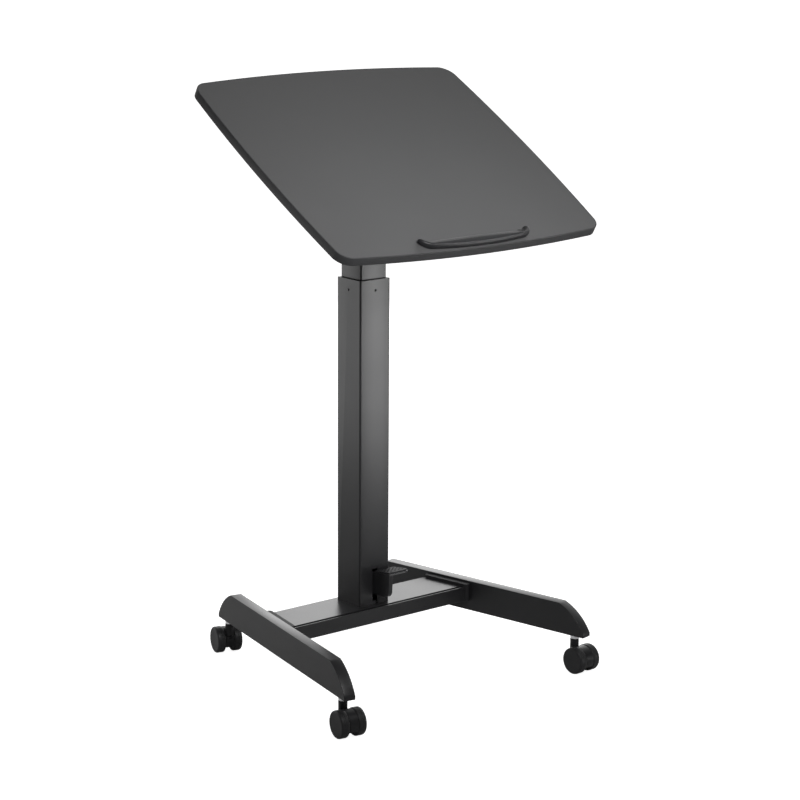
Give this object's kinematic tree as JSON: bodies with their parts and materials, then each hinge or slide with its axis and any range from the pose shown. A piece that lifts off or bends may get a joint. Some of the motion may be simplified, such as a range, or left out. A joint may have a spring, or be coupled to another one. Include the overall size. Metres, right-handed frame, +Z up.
{
  "type": "mobile standing desk",
  "caption": "Mobile standing desk: dark tilting top with a front stop lip on a two-stage lift column with a foot pedal, on an H-shaped base with twin-wheel casters",
  "frame": {"origin": "on the floor, at the centre of the four casters' swivel axes", "axes": "+Z up, the user stands on the -Y side, +X to the user's right"},
  "size_m": [0.6165, 0.5726, 1.1136],
  "materials": {
    "top_laminate": "fine-textured dark grey laminate",
    "top_edge": "black edge band",
    "painted_steel": "black fine-textured powder coat",
    "black_plastic": "moulded black plastic",
    "grip_rubber": "matt black rubber",
    "zinc_steel": "bright zinc plating",
    "chrome_steel": "polished chrome"
  },
  "bodies": {
    "base": {"outer_tube": "painted_steel", "upper_glide": "black_plastic", "grub_screws": "painted_steel", "column_foot": "painted_steel", "column_bolts": "zinc_steel", "gas_rod": "chrome_steel", "rod_nut": "zinc_steel", "pedal_bracket": "painted_steel", "pedal_pin": "zinc_steel", "pedal_clips": "zinc_steel", "pedal_spring": "zinc_steel", "crossbeam": "painted_steel", "beam_front_plate": "painted_steel", "end_bracket_left": "painted_steel", "end_bracket_right": "painted_steel", "leg_left": "painted_steel", "leg_right": "painted_steel", "leg_bolts": "zinc_steel", "stem_sockets": "zinc_steel", "caster_stems": "chrome_steel", "caster_nuts": "chrome_steel"},
    "lift": {"inner_tube": "painted_steel", "lower_glide": "black_plastic", "gas_cylinder": "painted_steel", "cylinder_nut": "zinc_steel", "head_plate": "painted_steel", "lower_bracket": "painted_steel", "yoke_bolts": "zinc_steel", "hinge_bolt": "zinc_steel", "hinge_washer": "zinc_steel", "friction_washers": "black_plastic"},
    "top": {"desktop": "top_laminate", "edge_band": "top_edge", "front_lip": "black_plastic", "lip_screws": "zinc_steel", "top_bracket": "painted_steel", "mount_screws": "zinc_steel"},
    "lever": {"tilt_lever": "zinc_steel", "lever_grip": "black_plastic"},
    "pedal": {"pedal_arm": "painted_steel", "pedal_pad": "grip_rubber"},
    "release": {"release_pin": "zinc_steel"},
    "swivel_fl": {"housing_front_left": "black_plastic", "axle_front_left": "zinc_steel"},
    "wheel_fl_1": {"wheel_front_left_1": "black_plastic"},
    "wheel_fl_2": {"wheel_front_left_2": "black_plastic"},
    "swivel_fr": {"housing_front_right": "black_plastic", "axle_front_right": "zinc_steel"},
    "wheel_fr_1": {"wheel_front_right_1": "black_plastic"},
    "wheel_fr_2": {"wheel_front_right_2": "black_plastic"},
    "swivel_rl": {"housing_rear_left": "black_plastic", "axle_rear_left": "zinc_steel"},
    "wheel_rl_1": {"wheel_rear_left_1": "black_plastic"},
    "wheel_rl_2": {"wheel_rear_left_2": "black_plastic"},
    "swivel_rr": {"housing_rear_right": "black_plastic", "axle_rear_right": "zinc_steel"},
    "wheel_rr_1": {"wheel_rear_right_1": "black_plastic"},
    "wheel_rr_2": {"wheel_rear_right_2": "black_plastic"}
  },
  "joints": [
    {"name": "lift", "type": "slide", "parent": "base", "child": "lift", "axis": [0, 0, 1], "range_m": [-0.17, 0.23]},
    {"name": "tilt", "type": "hinge", "parent": "lift", "child": "top", "pos_m": [0, 0.057, 0.961], "axis": [1, 0, 0], "range_deg": [-30.4, 29.6]},
    {"name": "clamp", "type": "hinge", "parent": "lift", "child": "lever", "pos_m": [0, 0.057, 0.961], "axis": [1, 0, 0], "range_deg": [-70, 20]},
    {"name": "pedal", "type": "hinge", "parent": "base", "child": "pedal", "pos_m": [0.0015, 0.037, 0.166], "axis": [1, 0, 0], "range_deg": [0, 10], "stiffness_Nm_per_rad": 2, "springref_deg": -17.19},
    {"name": "release", "type": "slide", "parent": "base", "child": "release", "axis": [0, 0, 1], "range_m": [0, 0.0033]},
    {"name": "swivel_fl", "type": "hinge", "parent": "base", "child": "swivel_fl", "pos_m": [-0.2778, -0.23837, 0.0565], "axis": [0, 0, 1], "continuous": true},
    {"name": "roll_fl_1", "type": "hinge", "parent": "swivel_fl", "child": "wheel_fl_1", "pos_m": [-0.29745, -0.25438, 0.0254], "axis": [0.9885, -0.1513, 0], "continuous": true},
    {"name": "roll_fl_2", "type": "hinge", "parent": "swivel_fl", "child": "wheel_fl_2", "pos_m": [-0.26384, -0.25953, 0.0254], "axis": [0.9885, -0.1513, 0], "continuous": true},
    {"name": "swivel_fr", "type": "hinge", "parent": "base", "child": "swivel_fr", "pos_m": [0.2778, -0.23837, 0.0565], "axis": [0, 0, 1], "continuous": true},
    {"name": "roll_fr_1", "type": "hinge", "parent": "swivel_fr", "child": "wheel_fr_1", "pos_m": [0.26157, -0.25784, 0.0254], "axis": [0.9992, 0.0401, 0], "continuous": true},
    {"name": "roll_fr_2", "type": "hinge", "parent": "swivel_fr", "child": "wheel_fr_2", "pos_m": [0.29554, -0.25647, 0.0254], "axis": [0.9992, 0.0401, 0], "continuous": true},
    {"name": "swivel_rl", "type": "hinge", "parent": "base", "child": "swivel_rl", "pos_m": [-0.1834, 0.23837, 0.0565], "axis": [0, 0, 1], "continuous": true},
    {"name": "roll_rl_1", "type": "hinge", "parent": "swivel_rl", "child": "wheel_rl_1", "pos_m": [-0.16221, 0.25228, 0.0254], "axis": [-0.9677, 0.2521, 0], "continuous": true},
    {"name": "roll_rl_2", "type": "hinge", "parent": "swivel_rl", "child": "wheel_rl_2", "pos_m": [-0.19511, 0.26085, 0.0254], "axis": [-0.9677, 0.2521, 0], "continuous": true},
    {"name": "swivel_rr", "type": "hinge", "parent": "base", "child": "swivel_rr", "pos_m": [0.1834, 0.23837, 0.0565], "axis": [0, 0, 1], "continuous": true},
    {"name": "roll_rr_1", "type": "hinge", "parent": "swivel_rr", "child": "wheel_rr_1", "pos_m": [0.1965, 0.26007, 0.0254], "axis": [-0.9816, -0.1908, 0], "continuous": true},
    {"name": "roll_rr_2", "type": "hinge", "parent": "swivel_rr", "child": "wheel_rr_2", "pos_m": [0.16313, 0.25358, 0.0254], "axis": [-0.9816, -0.1908, 0], "continuous": true}
  ],
  "couplings": [
    {"joint": "release", "follows": "pedal", "m_per_rad": 0.0188}
  ]
}
